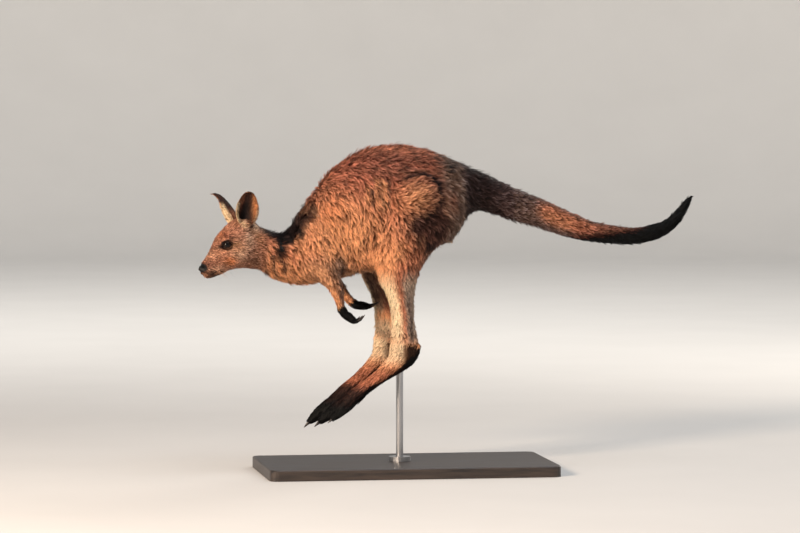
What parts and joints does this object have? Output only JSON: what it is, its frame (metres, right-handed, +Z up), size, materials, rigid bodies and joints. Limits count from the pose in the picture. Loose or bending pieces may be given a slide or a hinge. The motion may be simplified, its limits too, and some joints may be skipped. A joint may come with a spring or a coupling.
{
  "type": "eastern grey kangaroo",
  "caption": "Still life-size model of a young grey kangaroo in mid leap, with a full tufted coat, held by a rod over a flat display board.",
  "frame": {"origin": "middle of the underside of the stand's board", "axes": "+Z up, the animal faces -X, its left side is towards -Y; X runs from nose to tail tip"},
  "size_m": [1.1113, 0.34, 0.7227],
  "materials": {
    "fur": "matte",
    "tail_fur": "matte",
    "paw": "matte",
    "ear": "matte",
    "eye": "gloss",
    "claw": "satin",
    "board": "satin",
    "steel": "satin"
  },
  "bodies": {
    "root": {"claw_finger_1_l": "claw", "claw_finger_1_r": "claw", "claw_finger_2_l": "claw", "claw_finger_2_r": "claw", "claw_finger_3_l": "claw", "claw_finger_3_r": "claw", "claw_finger_4_l": "claw", "claw_finger_4_r": "claw", "claw_finger_5_l": "claw", "claw_finger_5_r": "claw", "claw_toe_23_l": "claw", "claw_toe_23_r": "claw", "claw_toe_4_l": "claw", "claw_toe_4_r": "claw", "claw_toe_5_l": "claw", "claw_toe_5_r": "claw", "ear_l": "ear", "ear_r": "ear", "eye_l": "eye", "eye_r": "eye", "foot_l": "paw", "foot_r": "paw", "forearm_l": "fur", "forearm_r": "fur", "hand_l": "paw", "hand_r": "paw", "head": "fur", "neck": "fur", "shank_l": "fur", "shank_r": "fur", "stand_base": "board", "stand_collar": "steel", "stand_rod": "steel", "tail_1": "tail_fur", "tail_2": "tail_fur", "tail_3": "tail_fur", "thigh_l": "fur", "thigh_r": "fur", "trunk": "fur", "upper_arm_l": "fur", "upper_arm_r": "fur"}
  },
  "joints": []
}
